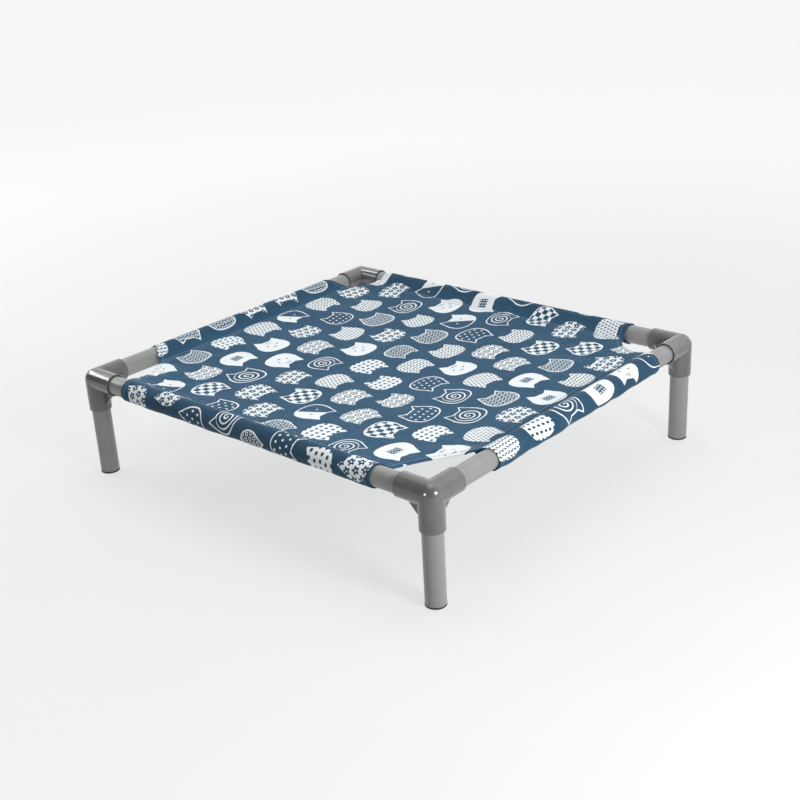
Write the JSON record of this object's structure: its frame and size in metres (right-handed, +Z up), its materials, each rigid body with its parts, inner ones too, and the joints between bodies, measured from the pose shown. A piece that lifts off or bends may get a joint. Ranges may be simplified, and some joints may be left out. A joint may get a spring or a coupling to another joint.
{
  "type": "elevated pet bed",
  "caption": "Low rectangular pet bed: a fabric sling with sewn sleeves stretched on a push-fit tube frame with three-way corner fittings and capped legs.",
  "frame": {"origin": "on the floor, under the centre of the bed", "axes": "+X along the two longer rails, -Y to the front rail, +Z up"},
  "size_m": [0.61, 0.558, 0.151],
  "materials": {
    "tube": "extruded light grey rigid plastic pipe, satin gloss with faint lengthwise draw lines",
    "fitting": "moulded darker grey rigid plastic, glossy",
    "foot_cap": "black soft plastic, matt",
    "sling_fabric": "plain-weave cotton canvas, slate blue with an off-white scattered print",
    "thread": "twisted sewing thread, blue"
  },
  "bodies": {
    "root": {"corner_front_left": "fitting", "corner_front_right": "fitting", "corner_back_right": "fitting", "corner_back_left": "fitting", "leg_front_left": "tube", "leg_front_right": "tube", "leg_back_right": "tube", "leg_back_left": "tube", "foot_cap_front_left": "foot_cap", "foot_cap_front_right": "foot_cap", "foot_cap_back_right": "foot_cap", "foot_cap_back_left": "foot_cap", "corner_hem_front_left": "sling_fabric", "corner_hem_front_right": "sling_fabric", "corner_hem_back_right": "sling_fabric", "corner_hem_back_left": "sling_fabric", "rail_front": "tube", "rail_back": "tube", "rail_left": "tube", "rail_right": "tube", "sleeve_front": "sling_fabric", "sleeve_back": "sling_fabric", "sleeve_left": "sling_fabric", "sleeve_right": "sling_fabric", "seam_front": "thread", "seam_back": "thread", "seam_left": "thread", "seam_right": "thread", "sling_deck": "sling_fabric"}
  },
  "joints": []
}
